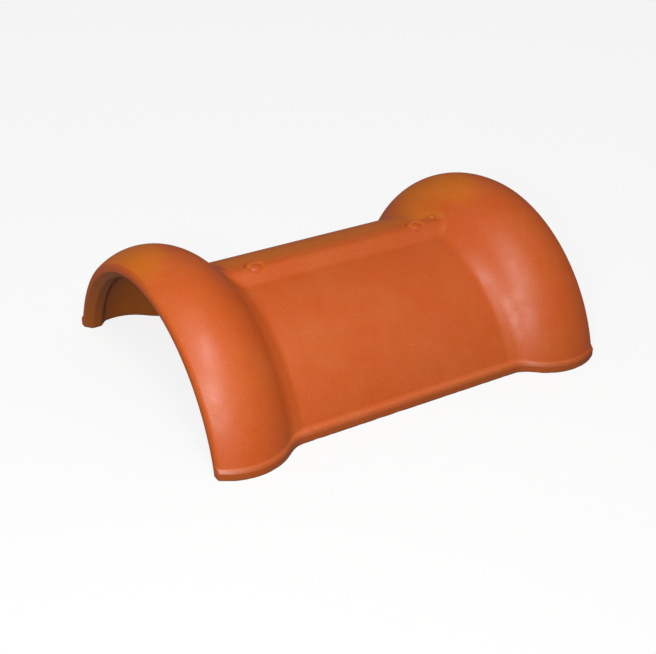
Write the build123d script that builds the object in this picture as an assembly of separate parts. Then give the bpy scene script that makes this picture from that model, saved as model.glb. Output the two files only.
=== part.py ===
from build123d import *
import os
from math import asin, cos, isclose, radians, sin, sqrt, tan

# Half round ridge tile of fired clay, with a rounded bell at each end, in millimetres.
# +X runs along the ridge, +Z is up, and the origin is under the middle of the tile,
# in the plane of the two long bottom edges that bed on the roof.

# Overall
length = 343.0
wall = 12.5

# Barrel between the bells: outer width at the bottom edges, and height of its plain round
barrel_width = 231.0
barrel_height = 81.8

# Bells: how far the rim of the mouth stands out from the barrel, at the side and at the top
rim_step_side = 9.0
rim_step_top = 18.3
rim_round = 2.5

# Bells: the bulge behind the rim, its rounding to a straight slope, and the hollow foot below that
bulge_rise = 9.2
bulge_from_end = 28.2
bulge_arc_radius = 48.4
back_slope = radians(45)
foot_radius = 22.0

# Inside of the mouth: thickness at the rim, bevelled lead-in, and the bead with its sloping back
rim_thickness = 11.0
bevel_depth = 5.5
bevel_length = 5.0
bead_length = 13.0
bead_slope = 5.0
bead_round = 1.5

# Round nail knock-outs on the crest, each with a button left in the middle
knockout_from_end = 96.7
knockout_diameter = 16.0
knockout_depth = 1.5
button_diameter = 10.0
button_height = 1.3

# Raised band along the crest that carries the knock-outs
band_margin = 0.5
band_side = 4.5
band_height = 6.0
band_round = 6.0

# Lip along the two bottom edges, with a sloping top
lip_height = 9.0
lip_proud = 0.4
lip_slope = 3.2

half_length = length / 2
bulge_x = half_length - bulge_from_end


def round_radius(half_width, height):
    """Radius of the arc that rises to a height over a chord of twice half_width."""
    return (half_width**2 + height**2) / (2 * height)


barrel_radius = round_radius(barrel_width / 2, barrel_height)
barrel_axis_z = barrel_height - barrel_radius
rim_height = barrel_height + rim_step_top
rim_radius = round_radius(barrel_width / 2 + rim_step_side, rim_height)
bell_axis_z = rim_height - rim_radius
bulge_top_z = rim_height + bulge_rise
bell_front_radius = round_radius(bulge_from_end, bulge_rise)
mouth_z = rim_height - rim_thickness
overall_width = 2 * (rim_radius + bulge_rise + lip_proud)
base_z = bell_axis_z / 2
barrel_axis = Axis((0, 0, barrel_axis_z), (1, 0, 0))
bell_axis = Axis((0, 0, bell_axis_z), (1, 0, 0))


def bulge_arc(top, bend, inset, first, last):
    """Arc that is level at the top of the bulge, moved inwards, between two angles from upright."""
    radius = bend - inset
    angles = (first, (first + last) / 2, last)
    return ThreePointArc(*((bulge_x + radius * sin(a), top - bend + radius * cos(a)) for a in angles))


def bell_front(inset, mouth_angle):
    """Arc from an angle near the mouth back to the top of the bulge."""
    return bulge_arc(bulge_top_z, bell_front_radius, inset, mouth_angle, 0)


def bell_back(top, bend, inset):
    """Arc from the top of the bulge over its back, and the straight slope that runs down into the barrel."""
    arc = bulge_arc(top, bend, inset, 0, -back_slope)
    drop = 2 * wall
    return arc, Line(arc @ 1, arc @ 1 - Vector(drop / tan(back_slope), drop))


def closed_to_axis(edges, first, last):
    """Face between the edges, which run from first to last, and the axis of the bell."""
    closing = Polyline(last, (last[0], bell_axis_z), (first[0], bell_axis_z), first)
    return make_face([*edges, *closing.edges()])


def bell_outside():
    """Outside of a bell in the upright plane, down to its axis, with a rounded rim."""
    reach = bell_front_radius - rim_round
    mouth_angle = asin((bulge_from_end - rim_round) / reach)
    round_x = half_length - rim_round
    round_z = bulge_top_z - bell_front_radius + reach * cos(mouth_angle)
    middle = (radians(90) + mouth_angle) / 2
    front = bell_front(0, mouth_angle)
    rim_start = (half_length, round_z)
    rim_middle = (round_x + rim_round * sin(middle), round_z + rim_round * cos(middle))
    rim = ThreePointArc(rim_start, rim_middle, front @ 0)
    back = bell_back(bulge_top_z, bulge_arc_radius, 0)
    return closed_to_axis([rim, front, *back], rim_start, tuple(back[-1] @ 1))


def bell_inside():
    """Inside of a bell in the upright plane: bevelled mouth, bead, and the cavity behind it."""
    reach = bell_front_radius - wall
    front = bell_front(wall, asin((bulge_from_end - bead_length - bead_slope) / reach))
    mouth_start = (half_length + bevel_length, mouth_z + 2 * bevel_depth)
    mouth = FilletPolyline(
        mouth_start,
        (half_length - bevel_length, mouth_z),
        (half_length - bead_length, mouth_z),
        front @ 0,
        radius=bead_round,
    )
    back = bell_back(bulge_top_z, bulge_arc_radius, wall)
    return closed_to_axis([*mouth.edges(), front, *back], mouth_start, tuple(back[-1] @ 1))


def barrel(height):
    """Half the barrel in the upright plane, up to a height."""
    return make_face(
        Polyline((0, height), (bulge_x, height), (bulge_x, barrel_axis_z), (0, barrel_axis_z), close=True)
    )


def half_round(face, axis):
    """Body turned over the top, from one side of its axis to the other."""
    return revolve((Plane.XZ * face).rotate(axis, -90), axis, 180)


def turned_body(barrel_face, bell_face, radius):
    """Barrel with a bell at both ends, with a hollow foot of that radius, down to below the bottom edges."""
    half = half_round(barrel_face, barrel_axis) + half_round(bell_face, bell_axis)
    upwards = (Align.CENTER, Align.CENTER, Align.MIN)
    block = Pos(0, 0, base_z) * Box(2 * length, overall_width, overall_width, align=upwards)
    whole = (half + mirror(half, Plane.YZ)) & block
    seams = [
        edge
        for edge in whole.edges().filter_by(GeomType.BSPLINE)
        if edge.length > barrel_height and abs(edge.center().X) < bulge_x
    ]
    return fillet(seams, radius)


def crest_band():
    """Low rounded rib along the crest, which runs into the back of both bells."""
    half_top = knockout_diameter / 2 + band_margin
    half_foot = half_top + band_side
    foot_z = barrel_axis_z + sqrt(barrel_radius**2 - half_foot**2)
    root_z = barrel_height - wall / 2
    top_z = barrel_height + band_height
    outline = FilletPolyline(
        (-half_foot, foot_z),
        (-half_top, top_z),
        (half_top, top_z),
        (half_foot, foot_z),
        radius=band_round,
    )
    closing = Polyline((half_foot, foot_z), (half_foot, root_z), (-half_foot, root_z), (-half_foot, foot_z))
    reach = bulge_x - bulge_arc_radius * sin(back_slope)
    rib = make_face([*outline.edges(), *closing.edges()])
    return extrude(Plane.YZ.offset(-reach) * rib, 2 * reach)


def half_width_at_base(radius, axis_z):
    """Half the width at the bottom edges of a round about an axis below them."""
    return sqrt(radius**2 - axis_z**2)


def lips():
    """Upright lips with a sloping top, straight past the flanks and out along the bells."""
    barrel_y = barrel_width / 2 + lip_proud
    bulge_y = half_width_at_base(rim_radius + bulge_rise, bell_axis_z) + lip_proud
    rim_y = half_width_at_base(rim_radius, bell_axis_z) + lip_proud
    front_bend = round_radius(bulge_from_end, bulge_y - rim_y)
    back_bend = bulge_arc_radius * bulge_y / (rim_radius + bulge_rise)
    front = bulge_arc(bulge_y, front_bend, 0, asin(bulge_from_end / front_bend), 0)
    back = bell_back(bulge_y, back_bend, 0)
    last = back[-1] @ 1
    closing = Polyline(last, (last.X, 0), (half_length, 0), front @ 0)
    quarter = extrude(make_face([front, *back, *closing.edges()]), lip_height)
    side = quarter + mirror(quarter, Plane.XZ)
    middle = Pos(0, 0, lip_height / 2) * Box(2 * bulge_x, 2 * barrel_y, lip_height)
    slab = middle + side + mirror(side, Plane.YZ)
    corners = [edge for edge in slab.edges().filter_by(Axis.Z) if isclose(abs(edge.center().Y), barrel_y)]
    slab = fillet(corners, foot_radius)
    tops = slab.edges().group_by(Axis.Z)[-1]
    return chamfer([edge for edge in tops if abs(edge.center().Y) > barrel_y / 2], lip_slope)


def knockout():
    """Round recess with a raised button in its middle, where a nail can be driven through."""
    recess = Cylinder(knockout_diameter / 2, 2 * knockout_depth)
    cap_radius = round_radius(button_diameter / 2, button_height)
    return recess - Pos(0, 0, button_height - knockout_depth - cap_radius) * Sphere(cap_radius)


outside = turned_body(barrel(barrel_height), bell_outside(), foot_radius)
inside = turned_body(barrel(barrel_height - wall), bell_inside(), foot_radius + wall)
upper_half = Pos(0, 0, overall_width / 2) * Box(length, overall_width, overall_width)
tile = (outside & upper_half) + lips() + crest_band() - inside
for side in (-1, 1):
    tile -= Pos(side * (half_length - knockout_from_end), 0, barrel_height + band_height) * knockout()

os.makedirs("parts", exist_ok=True)
export_step(tile, "parts/ridge_tile.step")
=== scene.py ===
import math
from types import SimpleNamespace

import bmesh
import bpy
import numpy as np
from mathutils import Matrix, Vector, noise


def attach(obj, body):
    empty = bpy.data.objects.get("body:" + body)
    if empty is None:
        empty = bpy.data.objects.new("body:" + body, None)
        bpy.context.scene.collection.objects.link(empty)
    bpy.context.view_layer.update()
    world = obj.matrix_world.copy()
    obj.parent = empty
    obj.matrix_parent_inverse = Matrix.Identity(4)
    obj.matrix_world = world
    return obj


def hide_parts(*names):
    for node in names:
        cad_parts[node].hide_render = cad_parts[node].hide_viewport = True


bl_info = {
    "name": "Half Round Ridge Tile",
    "version": (1, 0, 0),
    "blender": (4, 5, 0),
    "location": "View3D > Sidebar > Ridge Tile",
    "description": "Dresses the half round ridge tile as fired clay and sets its stage",
    "category": "Object",
}

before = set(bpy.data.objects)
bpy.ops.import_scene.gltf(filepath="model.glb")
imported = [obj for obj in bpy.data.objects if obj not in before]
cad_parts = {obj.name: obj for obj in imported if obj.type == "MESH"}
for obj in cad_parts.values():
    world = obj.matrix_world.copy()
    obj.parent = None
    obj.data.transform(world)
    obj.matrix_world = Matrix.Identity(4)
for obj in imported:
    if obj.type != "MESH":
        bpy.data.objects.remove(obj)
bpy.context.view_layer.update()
MM = 0.001

# The shell is drawn in millimetres, from a pole under the crest, in directions from one foot to
# the other. Stations run along the tile and rows up its side, each as (start, end, count) from
# the middle outwards.
POLE_Z = -34.0
OUTER_STATIONS = (
    (0, 65, 20),
    (65, 84.5, 30),
    (84.5, 91, 4),
    (91, 97, 8),
    (97, 112, 12),
    (112, 168.5, 26),
    (168.5, 171.5, 8),
)
INNER_STATIONS = (
    (0, 100, 44),
    (100, 125, 18),
    (125, 152.5, 18),
    (152.5, 155, 5),
    (155, 157, 2),
    (157, 160, 6),
    (160, 165, 3),
    (165, 168, 6),
    (168, 171.5, 6),
)
CREST_ROWS = ((0, 17.5, 27), (17.5, 23, 4))
FLANK_ROWS = 34
LIP_ROW_HEIGHTS = (0, 0.35, 0.8, 1.8, 3.2, 4.6, 5.3, 5.8, 6.3, 7.0, 7.8, 8.6, 9.3, 10.5)
WALL_SHARES = (0, 0.12, 0.5, 0.88, 1)

# Lowest directions in which a foot and the crest are looked for, and the halvings of that search
FOOT_TURN = 0.05
CREST_TURN = 0.2
HALVINGS = 26

# Bells: the slope behind them ends well inside the barrel, and the hollow at its foot reaches
# further inside the tile than outside
BACK_SLOPE = math.radians(45)
BACK_DROP = 60
INNER_HOLLOW = 1.5

# Mouth: pitch of the lead-in and of the bead's back, and how softly their edges are rounded
BEVEL_PITCH = 1.1
BEAD_PITCH = 1.24
BEVEL_EDGE = 1.2
BEAD_EDGE = 1.5
CAVITY_EDGE = 1.2

# Crest band: its slanting side, as a direction across and up and a distance from the pole, and
# the roundings of its shoulders and its root
BAND_SIDE_ACROSS = 0.8376
BAND_SIDE_UP = 0.5463
BAND_SIDE_REACH = 73.65
BAND_SHOULDER = 9.0
BAND_ROOT = 4.5

# Flank panels: half the length of the ramp at their ends
PANEL_RAMP = 3.5

# Lip: roundings at the mouth, between face and slope, between slope and top, and at the flank,
# and the least share across that keeps its face finite near the crest
LIP_RIM_ROUND = 1.0
LIP_FACE_EDGE = 0.5
LIP_TOP_EDGE = 0.4
LIP_ROOT = 0.3
LEAST_ACROSS = 0.01

# Crumbled bottom edge: the most that is gone, and its waves as (length, strength, seed)
CHIP_DEPTH = 0.55
CHIP_WAVES = ((9, 1, 3), (2.5, 0.6, 7))

# Knock-outs: depth of the groove, its wall from inside to outside of the rim, the domed button,
# and how far from the middle line the crest is pressed at all
GROOVE_DEPTH = 1.8
GROOVE_WALL = (-1.2, 0.1)
BUTTON_RADIUS = 5.9
BUTTON_BEND = 3
CREST_REACH = 15

# Crumb of clay that stuck to the crest: its place, height, edge from full to none, and stretch
CRUMB_X, CRUMB_Y = 95.3, 4.5
CRUMB_HEIGHT = 0.9
CRUMB_EDGE = (0.8, 2.6)
CRUMB_STRETCH = 0.8

# Tones: heights over which the darker bottom edge and the painted shade on the lip's face fade, the
# rubbed line on the lip, the ends over which it fades, and the paler crumb
CUT_EDGE = (0.3, 1.6)
LIP_FACE_TOP = (6.6, 8.0)
LIP_FACE_SHARE = 0.38
RUBBED_HEIGHT, RUBBED_WIDTH, RUBBED_SHARE = 8.3, 0.7, 0.15
RUBBED_ENDS = (160, 170)
CRUMB_SHARE, CRUMB_ABOVE = 0.6, 80

# Patterns in the clay, as (millimetres, detail). Its real grain of about 0.3 mm and its grog of
# about 1 mm are too fine to show in the render, so both are drawn coarser.
CLAY_PATTERNS = {
    "cloud": (42, 3.0),
    "sheen": (14, 3.0),
    "wave": (9, 2.0),
    "grog": (2.2, 1.0),
    "grain": (1.3, 2.0),
}
CLOUD_EDGES = (0.3, 0.75)
GRAIN_EDGES, GRAIN_TONES = (0.3, 0.7), (0.94, 1.05)
GROG_EDGES, GROG_SHARE = (0.755, 0.79), 0.5
SHEEN_EDGES, SHEEN_SWING = (0.3, 0.7), (-0.05, 0.06)
WAVE_DEPTH, WAVE_STRENGTH = 0.6 * MM, 0.13
PIT_DEPTH, PIT_STRENGTH = 0.25 * MM, 0.35

# Painted shade: an olive tint where faces along the crest turn up and away from the lamps. The way
# they turn, how squarely a face has to meet it, and the heights over which it sets in
SHADE_SIDE = (-0.35, 0.45, 0.82)
SHADE_FACING = (0.80, 0.93)
SHADE_HEIGHT = (50 * MM, 85 * MM)

# Stage, in metres: the floor, the lamps as (name of their power, size, right of the camera, above
# it), and their aim
FLOOR_REACH = 8.0
FLOOR_GAP = 0.05 * MM
LAMPS = (("near_lamp", 0.12, -0.12, -0.02), ("high_lamp", 0.35, -0.03, 0.65))
LAMP_AIM = Vector((0, 0, 0.04))
SENSOR_WIDTH = 36.0
PHOTO_WIDTH = 656


def linear(hex_colour):
    """Linear RGBA of an sRGB hex colour such as #c8642d."""
    parts = [int(hex_colour[i : i + 2], 16) / 255 for i in (1, 3, 5)]
    bright = (c / 12.92 if c <= 0.04045 else ((c + 0.055) / 1.055) ** 2.4 for c in parts)
    return (*bright, 1.0)


def cells(size_mm):
    """Scale of a noise in metres whose patches are about this many millimetres."""
    return 1.0 / (size_mm * MM)


def add_node(tree, kind, links=None, values=None, **settings):
    """Adds a node with its settings, and with its links and values by name or number of input."""
    node = tree.nodes.new(kind)
    for name, value in settings.items():
        setattr(node, name, value)
    for name, value in (values or {}).items():
        node.inputs[name].default_value = value
    for name, source in (links or {}).items():
        tree.links.new(source, node.inputs[name])
    return node


def new_material(name):
    """An empty node material and its tree."""
    material = bpy.data.materials.new(name)
    material.use_nodes = True
    material.node_tree.nodes.clear()
    return material, material.node_tree


class TileShape(bpy.types.PropertyGroup):
    """Sizes of the tile"""

    length: bpy.props.FloatProperty(
        name="Length", description="Along the ridge", default=0.343, unit="LENGTH"
    )
    wall: bpy.props.FloatProperty(
        name="Wall", description="Thickness of the clay", default=0.0125, unit="LENGTH"
    )
    barrel_radius: bpy.props.FloatProperty(
        name="Barrel radius",
        description="Outer radius between the bells",
        default=0.122442,
        unit="LENGTH",
    )
    barrel_axis: bpy.props.FloatProperty(
        name="Barrel axis",
        description="Height of the barrel's axis",
        default=-0.040642,
        unit="LENGTH",
    )
    bell_axis: bpy.props.FloatProperty(
        name="Bell axis", description="Height of the bells' axis", default=-0.027374, unit="LENGTH"
    )
    bulge_top: bpy.props.FloatProperty(
        name="Bulge top", description="Highest point of the bells", default=0.1093, unit="LENGTH"
    )
    bulge_from_end: bpy.props.FloatProperty(
        name="Bulge from end",
        description="From the mouth to a bell's top",
        default=0.0282,
        unit="LENGTH",
    )
    front_bend: bpy.props.FloatProperty(
        name="Front bend",
        description="Radius of a bell in front of its top",
        default=0.047819,
        unit="LENGTH",
    )
    back_bend: bpy.props.FloatProperty(
        name="Back bend",
        description="Radius of a bell behind its top",
        default=0.0484,
        unit="LENGTH",
    )
    rim_round: bpy.props.FloatProperty(
        name="Rim rounding",
        description="Radius of the mouth's outer edge",
        default=0.0025,
        unit="LENGTH",
    )
    mouth_height: bpy.props.FloatProperty(
        name="Mouth height",
        description="Height of the bead inside the mouth",
        default=0.0891,
        unit="LENGTH",
    )
    bevel_length: bpy.props.FloatProperty(
        name="Bevel length",
        description="Lead-in of the mouth, along the tile",
        default=0.005,
        unit="LENGTH",
    )
    bead_length: bpy.props.FloatProperty(
        name="Bead length",
        description="From the end to the bead's back",
        default=0.013,
        unit="LENGTH",
    )
    bead_slope: bpy.props.FloatProperty(
        name="Bead slope", description="Length of the bead's back", default=0.005, unit="LENGTH"
    )
    foot_blend: bpy.props.FloatProperty(
        name="Foot blend",
        description="Reach of the hollow where bell meets barrel",
        default=0.008,
        unit="LENGTH",
    )
    panel_end: bpy.props.FloatProperty(
        name="Panel end",
        description="From the middle to a flank panel's end",
        default=0.0965,
        unit="LENGTH",
    )
    panel_sink: bpy.props.FloatProperty(
        name="Panel sink",
        description="How far the flank panels are sunk",
        default=0.001,
        unit="LENGTH",
    )
    band_top: bpy.props.FloatProperty(
        name="Band top", description="Height of the crest band", default=0.0878, unit="LENGTH"
    )
    knockout_x: bpy.props.FloatProperty(
        name="Knock-out place",
        description="From the middle of the tile",
        default=0.0748,
        unit="LENGTH",
    )
    knockout_width: bpy.props.FloatProperty(
        name="Knock-out width",
        description="Outer diameter of a knock-out",
        default=0.016,
        unit="LENGTH",
    )
    lip_height: bpy.props.FloatProperty(
        name="Lip height",
        description="Height of the lip along the bottom edges",
        default=0.009,
        unit="LENGTH",
    )
    lip_slope: bpy.props.FloatProperty(
        name="Lip slope",
        description="Width of the lip's sloping top",
        default=0.0032,
        unit="LENGTH",
    )
    lip_middle: bpy.props.FloatProperty(
        name="Lip at the barrel",
        description="From the middle out to the lip",
        default=0.1159,
        unit="LENGTH",
    )
    lip_bulge: bpy.props.FloatProperty(
        name="Lip at the bulge",
        description="From the middle out to the lip",
        default=0.134304,
        unit="LENGTH",
    )
    lip_rim: bpy.props.FloatProperty(
        name="Lip at the mouth",
        description="From the middle out to the lip",
        default=0.124902,
        unit="LENGTH",
    )
    lip_back_bend: bpy.props.FloatProperty(
        name="Lip back bend",
        description="Radius of the lip behind the bulge",
        default=0.0476,
        unit="LENGTH",
    )


class ClayLook(bpy.types.PropertyGroup):
    """Colours and sheen of the fired clay"""

    body: bpy.props.FloatVectorProperty(
        name="Body colour",
        description="The clay",
        default=linear("#d45808"),
        size=4,
        subtype="COLOR",
    )
    blush: bpy.props.FloatVectorProperty(
        name="Blush",
        description="Paler, pinker patches",
        default=linear("#d56018"),
        size=4,
        subtype="COLOR",
    )
    # Painted shade: the olive tint on faces along the crest that turn up and away from the lamps
    shade_tint: bpy.props.FloatVectorProperty(
        name="Flashed colour",
        description="Browner faces along the crest, which lay toward the fire in the kiln",
        default=linear("#dc7002"),
        size=4,
        subtype="COLOR",
    )
    # Painted shade: a darker, browner tone on the whole inside of the tile, where shade falls in
    # the hollow
    inside: bpy.props.FloatVectorProperty(
        name="Inside colour",
        description="Browner clay inside the tile",
        default=linear("#b25c0c"),
        size=4,
        subtype="COLOR",
    )
    # Painted shade on the lip's upright face, and a darker tone along the bottom edges
    trimmed: bpy.props.FloatVectorProperty(
        name="Trimmed colour",
        description="Cut bottom edges and the face of the lip",
        default=linear("#8e4c1c"),
        size=4,
        subtype="COLOR",
    )
    rubbed: bpy.props.FloatVectorProperty(
        name="Rubbed colour",
        description="Edge of the lip, rubbed pale, and the crumb on the crest",
        default=linear("#ee9a66"),
        size=4,
        subtype="COLOR",
    )
    speck: bpy.props.FloatVectorProperty(
        name="Speck colour",
        description="Pale grains of grog",
        default=linear("#d98a5c"),
        size=4,
        subtype="COLOR",
    )
    roughness: bpy.props.FloatProperty(
        name="Roughness", description="Of the fired face", default=0.48, subtype="FACTOR"
    )
    ior: bpy.props.FloatProperty(name="IOR", description="Of the fired face", default=1.5)
    specular: bpy.props.FloatProperty(
        name="Specular level", description="Strength of the sheen", default=0.78, subtype="FACTOR"
    )


class StageLook(bpy.types.PropertyGroup):
    """Floor, light and camera"""

    floor: bpy.props.FloatVectorProperty(
        name="Floor colour",
        description="As the camera sees it",
        default=linear("#f2f2f0"),
        size=4,
        subtype="COLOR",
    )
    bounce: bpy.props.FloatVectorProperty(
        name="Bounce colour",
        description="Colour of the floor for the light that it throws back",
        default=linear("#686868"),
        size=4,
        subtype="COLOR",
    )
    glow: bpy.props.FloatProperty(
        name="Floor glow",
        description="Share of plain white in the floor as the camera sees it",
        default=0.84,
        subtype="FACTOR",
    )
    mirrored_glow: bpy.props.FloatProperty(
        name="Mirrored glow",
        description="Share of plain white in the floor as reflections see it",
        default=0.1,
        subtype="FACTOR",
    )
    near_lamp: bpy.props.FloatProperty(
        name="Near lamp",
        description="Power of the small lamp beside the camera",
        default=4.4,
        unit="POWER",
    )
    high_lamp: bpy.props.FloatProperty(
        name="High lamp",
        description="Power of the soft lamp above the camera",
        default=4.6,
        unit="POWER",
    )
    sky: bpy.props.FloatProperty(
        name="Sky", description="Strength of the even light from all round", default=0.36
    )
    backdrop: bpy.props.FloatProperty(
        name="Backdrop",
        description="Strength of the sky as the camera sees it beyond the floor",
        default=0.89,
    )
    mirrored_sky: bpy.props.FloatProperty(
        name="Mirrored sky", description="Strength of the sky as reflections see it", default=0.05
    )
    azimuth: bpy.props.FloatProperty(
        name="Azimuth",
        description="Where the camera stands, round from -Y",
        default=math.radians(-32.115),
        subtype="ANGLE",
    )
    elevation: bpy.props.FloatProperty(
        name="Elevation",
        description="How far the camera looks down",
        default=math.radians(30.27),
        subtype="ANGLE",
    )
    roll: bpy.props.FloatProperty(
        name="Roll",
        description="Turn of the camera about its own axis",
        default=math.radians(-1.45),
        subtype="ANGLE",
    )
    distance: bpy.props.FloatProperty(
        name="Distance", description="From the camera to its target", default=1.0345, unit="LENGTH"
    )
    target: bpy.props.FloatVectorProperty(
        name="Target",
        description="Point that the camera looks at",
        default=(-0.01345, -0.01145, 0.02114),
        subtype="XYZ",
        unit="LENGTH",
    )
    focal: bpy.props.FloatProperty(
        name="Focal length", description="In pixels of the photo", default=1279.14, subtype="PIXEL"
    )


def in_mm(sizes):
    """A group's lengths in millimetres, rounded because Blender keeps them in single precision."""
    lengths = {name: round(getattr(sizes, name) / MM, 4) for name in sizes.__annotations__}
    return SimpleNamespace(**lengths)


def larger(a, b, width):
    """The larger of two heights, with a hollow of that width where they cross."""
    near = np.clip(1 - np.abs(a - b) / width, 0, 1)
    return np.maximum(a, b) + width * near**2 / 4


def smaller(a, b, width):
    """The smaller of two heights, rounded off over that width where they cross."""
    return -larger(-a, -b, width)


def ramp(value, start, end):
    """Soft change from 0 at start to 1 at end."""
    t = np.clip((value - start) / (end - start), 0, 1)
    return t * t * (3 - 2 * t)


def mirrored(steps):
    """Places from -end to end, evenly spaced within each (start, end, count)."""
    half = np.concatenate([np.linspace(a, b, n + 1)[1:] for a, b, n in steps])
    return np.concatenate([-half[::-1], [0], half])


def round_reach(radius, axis_z, turn):
    """How far a round about a level axis lies from the pole, in those directions."""
    offset = POLE_Z - axis_z
    return np.sqrt(radius**2 - (offset * np.cos(turn)) ** 2) - offset * np.sin(turn)


def bell_back(shape, u, top, bend):
    """Height behind a bell's top: an arc that turns into a slope of 45 degrees."""
    bulge_x = shape.length / 2 - shape.bulge_from_end
    reach = bend * math.sin(BACK_SLOPE)
    arc = top - bend + np.sqrt(bend**2 - np.clip(bulge_x - u, 0, reach) ** 2)
    return arc - np.clip(bulge_x - u - reach, 0, BACK_DROP)


def bell_crest(shape, u, top, bend, front_bend, rim_round):
    """Height of a bell along u from its back to the rounded rim of its mouth."""
    end = shape.length / 2
    ahead = np.clip(u - (end - shape.bulge_from_end), 0, None)
    back = bell_back(shape, u, top, bend)
    front = front_bend - np.sqrt(front_bend**2 - ahead**2)
    rim = np.clip(u - (end - rim_round), 0, rim_round)
    return back - front - (rim_round - np.sqrt(rim_round**2 - rim**2))


def band_reach(shape, across, up):
    """How far the crest band's level top and slanting sides lie from the pole."""
    top = (shape.band_top - POLE_Z) / up
    side = BAND_SIDE_REACH / (BAND_SIDE_ACROSS * across + BAND_SIDE_UP * up)
    return smaller(top, side, BAND_SHOULDER)


def lip_reach(shape, u, across, up):
    """How far the lip's upright face, its slope and its level top lie from the pole."""
    step = shape.lip_bulge - shape.lip_rim
    front_bend = (shape.bulge_from_end**2 + step**2) / (2 * step)
    bends = shape.lip_back_bend, front_bend
    bell_line = bell_crest(shape, u, shape.lip_bulge, *bends, LIP_RIM_ROUND)
    line = larger(bell_line, shape.lip_middle, shape.foot_blend)
    face = line / np.maximum(across, LEAST_ACROSS)
    slope = (line + shape.lip_height - shape.lip_slope - POLE_Z) / (across + up)
    top = (shape.lip_height - POLE_Z) / up
    return smaller(smaller(face, slope, LIP_FACE_EDGE), top, LIP_TOP_EDGE)


def outer_reach(shape, x, turn):
    """How far the outside of the tile lies from the pole."""
    u = np.abs(x)
    across, up = np.abs(np.cos(turn)), np.sin(turn)
    sunk = 1 - ramp(u, shape.panel_end - PANEL_RAMP, shape.panel_end + PANEL_RAMP)
    barrel = round_reach(shape.barrel_radius, shape.barrel_axis, turn) - shape.panel_sink * sunk
    bends = shape.back_bend, shape.front_bend
    crest = bell_crest(shape, u, shape.bulge_top, *bends, shape.rim_round)
    bell = round_reach(crest - shape.bell_axis, shape.bell_axis, turn)
    body = larger(barrel, bell, shape.foot_blend)
    body = larger(body, band_reach(shape, across, up), BAND_ROOT)
    return larger(body, lip_reach(shape, u, across, up), LIP_ROOT)


def inner_reach(shape, x, turn):
    """How far the inside of the tile lies from the pole."""
    u = np.abs(x)
    end = shape.length / 2
    bevel = shape.mouth_height + (u - end + shape.bevel_length) * BEVEL_PITCH
    bead_back = shape.mouth_height + (end - shape.bead_length - u) * BEAD_PITCH
    mouth = larger(larger(shape.mouth_height, bevel, BEVEL_EDGE), bead_back, BEAD_EDGE)
    deep = np.minimum(u, end - shape.bead_length - shape.bead_slope)
    bends = shape.back_bend - shape.wall, shape.front_bend - shape.wall
    cavity = bell_crest(shape, deep, shape.bulge_top - shape.wall, *bends, shape.rim_round)
    bell = round_reach(smaller(mouth, cavity, CAVITY_EDGE) - shape.bell_axis, shape.bell_axis, turn)
    barrel = round_reach(shape.barrel_radius - shape.wall, shape.barrel_axis, turn)
    return larger(barrel, bell, INNER_HOLLOW * shape.foot_blend)


def turn_at(measure, target, low, high):
    """The directions between low and high in which a measure that grows meets its target."""
    low, high = low + np.zeros_like(target), high + np.zeros_like(target)
    for _ in range(HALVINGS):
        middle = (low + high) / 2
        short = measure(middle) < target
        low, high = np.where(short, middle, low), np.where(short, high, middle)
    return (low + high) / 2


def points_at(x, turn, reach):
    """Points at those stations, in those directions and that far from the pole."""
    return np.stack([x + 0 * turn, -reach * np.cos(turn), POLE_Z + reach * np.sin(turn)], axis=-1)


def outer_stations(shape):
    """Stations of the outside, drawn together towards the end of the rounded rims."""
    x = mirrored(OUTER_STATIONS)[:, None]
    end = shape.length / 2
    swing = np.clip((np.abs(x) - end + shape.rim_round) / shape.rim_round, 0, 1)
    rounded = np.sign(x) * (end - shape.rim_round * (1 - np.sin(swing * math.pi / 2)))
    return np.where(np.abs(x) > end - shape.rim_round, rounded, x)


def chip_depths(x):
    """How much has crumbled from the bottom edge at each station."""
    waves = [
        strength * np.array([[noise.noise(Vector((place / length, seed, 0)))] for place in x[:, 0]])
        for length, strength, seed in CHIP_WAVES
    ]
    return CHIP_DEPTH * np.clip(sum(waves), 0, 1)


def outer_grid(shape):
    """Points of the outside and their directions, station by station, from foot to foot."""
    x = outer_stations(shape)
    levels = np.array(LIP_ROW_HEIGHTS)[None, :]
    levels = levels + chip_depths(x) * (1 - levels / LIP_ROW_HEIGHTS[-1])
    crest = mirrored(CREST_ROWS)
    places = crest[: len(crest) // 2 + 1][None, :] + 0 * x

    def height(turn):
        return POLE_Z + outer_reach(shape, x, turn) * np.sin(turn)

    def inward(turn):
        return -outer_reach(shape, x, turn) * np.cos(turn)

    low = turn_at(height, levels, FOOT_TURN, math.pi / 2)
    high = turn_at(inward, places, CREST_TURN, math.pi / 2)
    share = np.linspace(0, 1, FLANK_ROWS + 1)[1:-1]
    flank = low[:, -1:] + (high[:, :1] - low[:, -1:]) * share
    half = np.concatenate([low, flank, high], axis=1)
    turn = np.concatenate([half, math.pi - half[:, -2::-1]], axis=1)
    return points_at(x, turn, outer_reach(shape, x, turn)), turn


def inner_grid(shape, outer_turn):
    """Points of the inside, in the outside's directions, spread to end at its own feet."""
    x = mirrored(INNER_STATIONS)[:, None]

    def height(turn):
        return POLE_Z + inner_reach(shape, x, turn) * np.sin(turn)

    upright = math.pi / 2
    foot = turn_at(height, 0 * x, FOOT_TURN, upright)
    turn = upright + (outer_turn - upright) * (upright - foot) / (upright - outer_turn[:, :1])
    return points_at(x, turn, inner_reach(shape, x, turn))


def crumb_share(x, y):
    """1 on the crumb of clay that stuck to the crest, and 0 away from it."""
    return 1 - ramp(np.hypot(x - CRUMB_X, (y - CRUMB_Y) * CRUMB_STRETCH), *CRUMB_EDGE)


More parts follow.
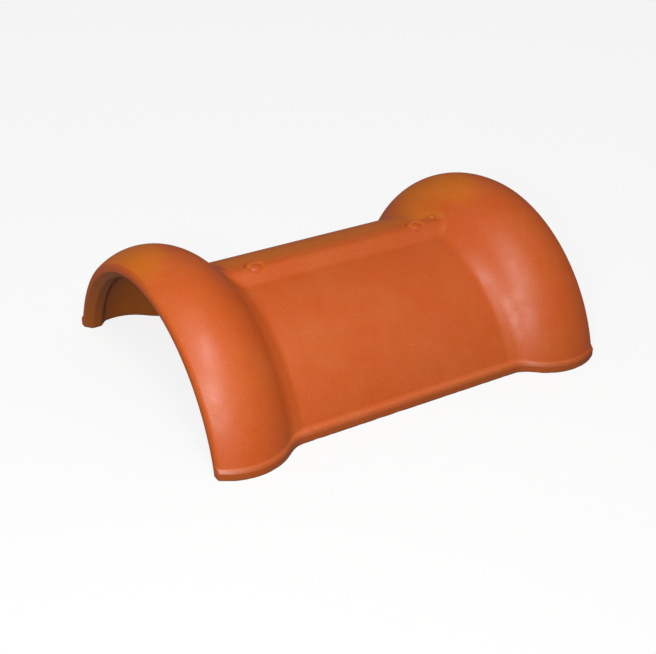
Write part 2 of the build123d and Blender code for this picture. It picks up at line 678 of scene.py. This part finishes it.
def press_crest(shape, points):
    """Sinks the two round knock-outs with their domed buttons, and leaves the crumb beside one."""
    x, y = points[..., 0], points[..., 1]
    away = np.hypot(np.abs(x) - shape.knockout_x, y)
    rim = shape.knockout_width / 2
    groove = GROOVE_DEPTH * (1 - ramp(away, rim + GROOVE_WALL[0], rim + GROOVE_WALL[1]))
    button = GROOVE_DEPTH * np.clip(1 - (away / BUTTON_RADIUS) ** BUTTON_BEND, 0, 1)
    rise = CRUMB_HEIGHT * crumb_share(x, y) - groove + button
    points[..., 2] += np.where(np.abs(y) < CREST_REACH, rise, 0)


def tone_marks(lattice):
    """How much of each special tone, painted shade among them, goes at each station, row and layer
    of the lattice.
    """
    rows, layers = np.arange(lattice.shape[1]), np.arange(lattice.shape[2])
    x, y, z = lattice[..., 0], lattice[..., 1], lattice[..., 2]
    near_foot = np.minimum(rows, rows[::-1])[None, :, None] < len(LIP_ROW_HEIGHTS) + 2
    outside, inside = layers == 0, layers == layers[-1]
    # Painted shade on the lip's upright face
    lip_face = (1 - ramp(z, *LIP_FACE_TOP)) * outside * LIP_FACE_SHARE
    rubbed_line = RUBBED_SHARE * np.exp(-(((z - RUBBED_HEIGHT) / RUBBED_WIDTH) ** 2))
    crumb = CRUMB_SHARE * crumb_share(x, y) * (z > CRUMB_ABOVE)
    return {
        # Painted shade on the inside of the hollow
        "inside": np.broadcast_to(inside, z.shape) * 1.0,
        "trimmed": np.maximum(lip_face, 1 - ramp(z, *CUT_EDGE)) * near_foot,
        "rubbed": (rubbed_line * near_foot * (1 - ramp(np.abs(x), *RUBBED_ENDS)) + crumb) * outside,
    }


def shell_mesh(outer, inner):
    """Closed mesh of quads: both grids of points, and the mouths and feet between them."""
    shares = np.array(WALL_SHARES)[:, None]
    lattice = outer[:, :, None, :] + (inner - outer)[:, :, None, :] * shares
    on_skin = np.zeros(lattice.shape[:3], bool)
    on_skin[[0, -1]] = on_skin[:, [0, -1]] = on_skin[:, :, [0, -1]] = True
    index = np.full(on_skin.shape, -1)
    index[on_skin] = np.arange(on_skin.sum())
    sides = (index[0], index[-1], index[:, 0], index[:, -1], index[:, :, 0], index[:, :, -1])
    corners = [(s[:-1, :-1], s[1:, :-1], s[1:, 1:], s[:-1, 1:]) for s in sides]
    quads = np.concatenate([np.stack(c, axis=-1).reshape(-1, 4) for c in corners])

    mesh = bpy.data.meshes.new("ridge_tile_clay")
    mesh.from_pydata((lattice[on_skin] * MM).tolist(), [], quads.tolist())
    for name, values in tone_marks(lattice).items():
        mesh.attributes.new(name, "FLOAT", "POINT").data.foreach_set("value", values[on_skin])
    work = bmesh.new()
    work.from_mesh(mesh)
    bmesh.ops.recalc_face_normals(work, faces=work.faces)
    work.to_mesh(mesh)
    work.free()
    mesh.shade_smooth()
    return mesh


def fired_clay(look):
    """Terracotta: iron-rich clay, pressed and fired unglazed.

    Unglazed fired clay is matt with a broad faint sheen. It is finely grained, gently mottled from
    the kiln, and has a few pale grains of grog at its surface. Shade is painted into its colour: an
    olive tint along the crest where faces turn up and away from the lamps, and browner tones inside
    the tile and on the lip's face.
    """
    material, tree = new_material("fired_terracotta")
    place = add_node(tree, "ShaderNodeTexCoord").outputs["Object"]
    normal = add_node(tree, "ShaderNodeNewGeometry").outputs["Normal"]
    # Painted shade: how squarely each face turns up and away from the lamps, for the olive tint
    to_shade_side = {1: SHADE_SIDE}
    facing = add_node(tree, "ShaderNodeVectorMath", {0: normal}, to_shade_side, operation="DOT_PRODUCT")
    height = add_node(tree, "ShaderNodeSeparateXYZ", {0: place}).outputs["Z"]

    # The clay's patterns, and the tones that the mesh carries
    field = {"facing": facing.outputs["Value"], "height": height}
    for name, (size, detail) in CLAY_PATTERNS.items():
        values = {"Scale": cells(size), "Detail": detail}
        pattern = add_node(tree, "ShaderNodeTexNoise", {"Vector": place}, values)
        field[name] = pattern.outputs["Fac"]
    for name in ("inside", "trimmed", "rubbed"):
        field[name] = add_node(tree, "ShaderNodeAttribute", attribute_name=name).outputs["Fac"]

    # What each of them comes to: its edges, and its results below and above them
    soft = {"interpolation_type": "SMOOTHSTEP"}
    share = {}
    for name, steps in (
        ("cloud", (*CLOUD_EDGES, 0, 1)),
        ("facing", (*SHADE_FACING, 0, 1)),
        ("height", (*SHADE_HEIGHT, 0, 1)),
        ("grain", (*GRAIN_EDGES, *GRAIN_TONES)),
        ("grog", (*GROG_EDGES, 0, GROG_SHARE)),
        ("sheen", (*SHEEN_EDGES, *(look.roughness + swing for swing in SHEEN_SWING))),
    ):
        values = dict(enumerate(steps, 1))
        spread = add_node(tree, "ShaderNodeMapRange", {0: field[name]}, values, **soft)
        share[name] = spread.outputs[0]

    # Mottling, then painted shade: olive along the crest, browner inside and on the lip's face,
    # with the darker bottom edges; then the rubbed ones
    tones = {6: look.body, 7: look.blush}
    tone = add_node(tree, "ShaderNodeMix", {0: share["cloud"]}, tones, data_type="RGBA").outputs[2]
    # Painted shade along the crest, where a face turns away from the lamps and lies high enough
    met = {0: share["facing"], 1: share["height"]}
    painted_shade = add_node(tree, "ShaderNodeMath", met, operation="MULTIPLY").outputs[0]
    for amount, tint in (
        (painted_shade, look.shade_tint),
        (field["inside"], look.inside),
        (field["trimmed"], look.trimmed),
        (field["rubbed"], look.rubbed),
    ):
        mix = add_node(tree, "ShaderNodeMix", {0: amount, 6: tone}, {7: tint}, data_type="RGBA")
        tone = mix.outputs[2]

    # Grain, and the few grains of grog that reach the face
    grained = add_node(tree, "ShaderNodeHueSaturation", {"Color": tone, "Value": share["grain"]})
    bare = {0: share["grog"], 6: grained.outputs["Color"]}
    specked = add_node(tree, "ShaderNodeMix", bare, {7: look.speck}, data_type="RGBA")

    # Faint waves left by the press, with the pits of the grain on them
    links = {"Height": field["wave"]}
    values = {"Strength": WAVE_STRENGTH, "Distance": WAVE_DEPTH}
    waves = add_node(tree, "ShaderNodeBump", links, values)
    links = {"Height": field["grain"], "Normal": waves.outputs["Normal"]}
    values = {"Strength": PIT_STRENGTH, "Distance": PIT_DEPTH}
    pits = add_node(tree, "ShaderNodeBump", links, values)

    links = {
        "Base Color": specked.outputs[2],
        "Roughness": share["sheen"],
        "Normal": pits.outputs["Normal"],
    }
    values = {"IOR": look.ior, "Specular IOR Level": look.specular}
    shader = add_node(tree, "ShaderNodeBsdfPrincipled", links, values)
    add_node(tree, "ShaderNodeOutputMaterial", {"Surface": shader.outputs["BSDF"]})
    return material


def floor_paint(look):
    """Matt white floor paint.

    It looks nearly white, keeps the tile's shadow, and throws little light back at the clay.
    """
    material, tree = new_material("white_floor_paint")
    rays = add_node(tree, "ShaderNodeLightPath").outputs
    links = {0: rays["Is Camera Ray"], 1: rays["Is Transmission Ray"]}
    seen = add_node(tree, "ShaderNodeMath", links, operation="MAXIMUM").outputs[0]

    # Share of plain white to the eye and in reflections
    looks = ((seen, look.glow), (rays["Is Glossy Ray"], look.mirrored_glow))
    parts = {}
    for slot, (ray, whiteness) in enumerate(looks):
        part = add_node(tree, "ShaderNodeMath", {0: ray}, {1: whiteness}, operation="MULTIPLY")
        parts[slot] = part.outputs[0]
    white_share = add_node(tree, "ShaderNodeMath", parts, operation="MAXIMUM")

    colours = {6: look.bounce, 7: look.floor}
    tone = add_node(tree, "ShaderNodeMix", {0: seen}, colours, data_type="RGBA")
    paint = add_node(tree, "ShaderNodeBsdfDiffuse", {"Color": tone.outputs[2]})
    values = {"Color": linear("#ffffff"), "Strength": 1.0}
    white = add_node(tree, "ShaderNodeEmission", values=values)
    layers = {0: white_share.outputs[0], 1: paint.outputs[0], 2: white.outputs[0]}
    both = add_node(tree, "ShaderNodeMixShader", layers)
    add_node(tree, "ShaderNodeOutputMaterial", {"Surface": both.outputs[0]})
    return material


def studio_floor():
    """Plain square floor a hair below the tile's bottom edges."""
    mesh = bpy.data.meshes.new("floor")
    sides = ((-1, -1), (1, -1), (1, 1), (-1, 1))
    corners = [(x * FLOOR_REACH, y * FLOOR_REACH, -FLOOR_GAP) for x, y in sides]
    mesh.from_pydata(corners, [], [(0, 1, 2, 3)])
    return mesh


def pale_sky(look):
    """Even light from all round, which the camera sees nearly white and reflections see dim."""
    world = bpy.data.worlds.new("pale_sky")
    world.use_nodes = True
    tree = world.node_tree
    tree.nodes.clear()
    rays = add_node(tree, "ShaderNodeLightPath").outputs
    light = {}
    for name in ("sky", "mirrored_sky", "backdrop"):
        values = {"Color": linear("#ffffff"), "Strength": getattr(look, name)}
        light[name] = add_node(tree, "ShaderNodeBackground", values=values).outputs[0]
    links = {0: rays["Is Glossy Ray"], 1: light["sky"], 2: light["mirrored_sky"]}
    unseen = add_node(tree, "ShaderNodeMixShader", links)
    links = {0: rays["Is Camera Ray"], 1: unseen.outputs[0], 2: light["backdrop"]}
    sky = add_node(tree, "ShaderNodeMixShader", links)
    add_node(tree, "ShaderNodeOutputWorld", {"Surface": sky.outputs[0]})
    return world


def camera_axes(look):
    """Right, up and forward of the camera, with its roll."""
    a, e, r = look.azimuth, look.elevation, look.roll
    right = Vector((math.cos(a), math.sin(a), 0))
    forward = Vector((-math.sin(a) * math.cos(e), math.cos(a) * math.cos(e), -math.sin(e)))
    up = right.cross(forward)
    return math.cos(r) * right - math.sin(r) * up, math.sin(r) * right + math.cos(r) * up, forward


class RIDGETILE_OT_stage(bpy.types.Operator):
    """Set the floor, the sky, the lamps and the camera"""

    bl_idname = "ridge_tile.stage"
    bl_label = "Set the Stage"

    def execute(self, context):
        scene = context.scene
        look = scene.ridge_tile_stage
        right, up, forward = camera_axes(look)
        camera = bpy.data.objects.new("camera", bpy.data.cameras.new("camera"))
        camera.data.sensor_width = SENSOR_WIDTH
        camera.data.lens = look.focal / PHOTO_WIDTH * SENSOR_WIDTH
        camera.matrix_world = Matrix((right, up, -forward)).transposed().to_4x4()
        camera.location = Vector(look.target) - look.distance * forward
        scene.collection.objects.link(camera)
        scene.camera = camera

        for name, size, aside, above in LAMPS:
            light = bpy.data.lights.new(name, "AREA")
            light.energy = getattr(look, name)
            light.size = size
            lamp = bpy.data.objects.new(name, light)
            lamp.location = camera.location + aside * right + above * up
            lamp.rotation_euler = (LAMP_AIM - lamp.location).to_track_quat("-Z", "Y").to_euler()
            scene.collection.objects.link(lamp)

        floor = bpy.data.objects.new("floor", studio_floor())
        floor.data.materials.append(floor_paint(look))
        scene.collection.objects.link(floor)
        scene.world = pale_sky(look)
        scene.view_settings.view_transform = "Standard"
        return {"FINISHED"}


class RIDGETILE_OT_tile(bpy.types.Operator):
    """Press the tile's clay shell and fire it"""

    bl_idname = "ridge_tile.tile"
    bl_label = "Make the Tile"

    def execute(self, context):
        scene = context.scene
        shape = in_mm(scene.ridge_tile_shape)
        outer, turn = outer_grid(shape)
        inner = inner_grid(shape, turn)
        press_crest(shape, outer)
        tile = bpy.data.objects.new("ridge_tile_clay", shell_mesh(outer, inner))
        tile.data.materials.append(fired_clay(scene.ridge_tile_clay))
        scene.collection.objects.link(tile)
        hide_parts("ridge_tile")
        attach(tile, "root")
        return {"FINISHED"}


class RIDGETILE_PT_panel(bpy.types.Panel):
    """The tile and its stage"""

    bl_label = "Ridge Tile"
    bl_idname = "RIDGETILE_PT_panel"
    bl_space_type = "VIEW_3D"
    bl_region_type = "UI"
    bl_category = "Ridge Tile"

    def draw(self, context):
        scene = context.scene
        for group in (scene.ridge_tile_shape, scene.ridge_tile_clay, scene.ridge_tile_stage):
            for name in group.__annotations__:
                self.layout.prop(group, name)
        for operator in (RIDGETILE_OT_stage, RIDGETILE_OT_tile):
            self.layout.operator(operator.bl_idname)


CLASSES = (
    TileShape,
    ClayLook,
    StageLook,
    RIDGETILE_OT_stage,
    RIDGETILE_OT_tile,
    RIDGETILE_PT_panel,
)


def register():
    for cls in CLASSES:
        bpy.utils.register_class(cls)
    bpy.types.Scene.ridge_tile_shape = bpy.props.PointerProperty(type=TileShape)
    bpy.types.Scene.ridge_tile_clay = bpy.props.PointerProperty(type=ClayLook)
    bpy.types.Scene.ridge_tile_stage = bpy.props.PointerProperty(type=StageLook)


def unregister():
    del bpy.types.Scene.ridge_tile_stage
    del bpy.types.Scene.ridge_tile_clay
    del bpy.types.Scene.ridge_tile_shape
    for cls in reversed(CLASSES):
        bpy.utils.unregister_class(cls)


def main():
    register()
    bpy.ops.ridge_tile.stage()
    bpy.ops.ridge_tile.tile()


if __name__ == "__main__":
    main()
